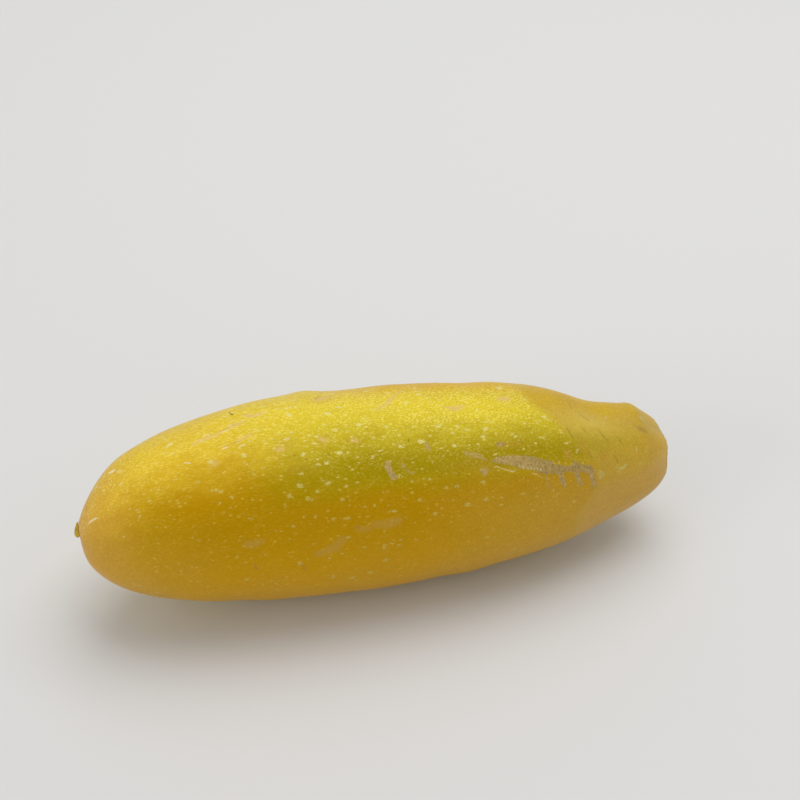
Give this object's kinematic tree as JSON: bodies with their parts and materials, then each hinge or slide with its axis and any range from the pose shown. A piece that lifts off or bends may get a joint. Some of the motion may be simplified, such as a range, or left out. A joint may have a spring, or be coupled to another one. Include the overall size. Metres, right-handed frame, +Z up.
{
  "type": "zucchini",
  "caption": "Yellow zucchini lying on its side: a long egg-shaped fruit with a narrower stem end, faint ribs, a dried blossom foot and a snapped-stalk scar.",
  "frame": {"origin": "middle of the small flat spot that the fruit rests on, under its centre of mass", "axes": "+X along the fruit towards the stem end, +Z up from the surface it rests on, +Y to the left seen from the blossom end"},
  "size_m": [0.1771, 0.0611, 0.059],
  "materials": {
    "skin": "satin, golden yellow fruit skin with fine pits, pale flecks and beige cork scars"
  },
  "bodies": {
    "root": {"zucchini": "skin"}
  },
  "joints": []
}
